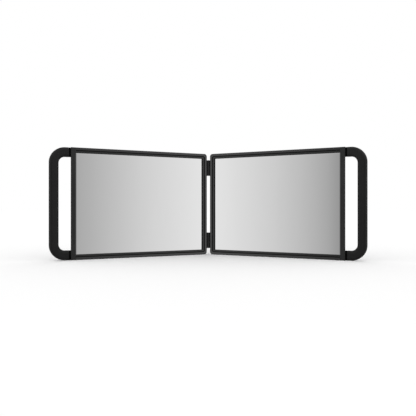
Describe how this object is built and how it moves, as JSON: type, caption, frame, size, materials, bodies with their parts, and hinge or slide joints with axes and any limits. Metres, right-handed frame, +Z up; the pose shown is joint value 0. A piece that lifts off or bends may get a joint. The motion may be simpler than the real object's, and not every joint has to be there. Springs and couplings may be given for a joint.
{
  "type": "folding mirror",
  "caption": "Folding mirror: framed mirror panels joined by pin hinges, with a loop handle at each outer end; stands in a V, folds face to face and opens flat.",
  "frame": {"origin": "middle of the bottom of the standing mirror's box", "axes": "+X to the viewer's right along the standing width, +Y to the back, where the hinges are, +Z up"},
  "size_m": [0.5564, 0.1488, 0.2],
  "materials": {
    "frame_plastic": "satin",
    "bezel_plastic": "satin",
    "cover_plastic": "fine moulded grain",
    "grip_plastic": "matte",
    "collar_rubber": "matte",
    "mirror_glass": "silvered",
    "backing_board": "hardboard",
    "core_steel": "zinc plated",
    "hinge_metal": "black coated die casting",
    "pin_steel": "ground",
    "washer_plastic": "moulded",
    "screw_steel": "black oxide"
  },
  "bodies": {
    "left_panel": {"left_frame": "frame_plastic", "left_bezel": "bezel_plastic", "left_mirror": "mirror_glass", "left_backing_board": "backing_board", "left_rear_cover": "cover_plastic", "left_end_bar": "frame_plastic", "left_handle_core": "core_steel", "left_handle_grip": "grip_plastic", "left_handle_collars": "collar_rubber", "left_upper_hinge_leaf": "hinge_metal", "left_lower_hinge_leaf": "hinge_metal", "left_cover_screws": "screw_steel", "left_hinge_screws": "screw_steel", "left_handle_screws": "screw_steel", "upper_hinge_pin": "pin_steel", "lower_hinge_pin": "pin_steel", "upper_hinge_washers": "washer_plastic", "lower_hinge_washers": "washer_plastic"},
    "right_panel": {"right_frame": "frame_plastic", "right_bezel": "bezel_plastic", "right_mirror": "mirror_glass", "right_backing_board": "backing_board", "right_rear_cover": "cover_plastic", "right_end_bar": "frame_plastic", "right_handle_core": "core_steel", "right_handle_grip": "grip_plastic", "right_handle_collars": "collar_rubber", "right_upper_hinge_leaf": "hinge_metal", "right_lower_hinge_leaf": "hinge_metal", "right_cover_screws": "screw_steel", "right_hinge_screws": "screw_steel", "right_handle_screws": "screw_steel"}
  },
  "joints": [
    {"name": "fold", "type": "hinge", "parent": "left_panel", "child": "right_panel", "pos_m": [0, 0.06353, 0.1], "axis": [0, 0, -1], "range_deg": [-54.3, 125.7]}
  ]
}
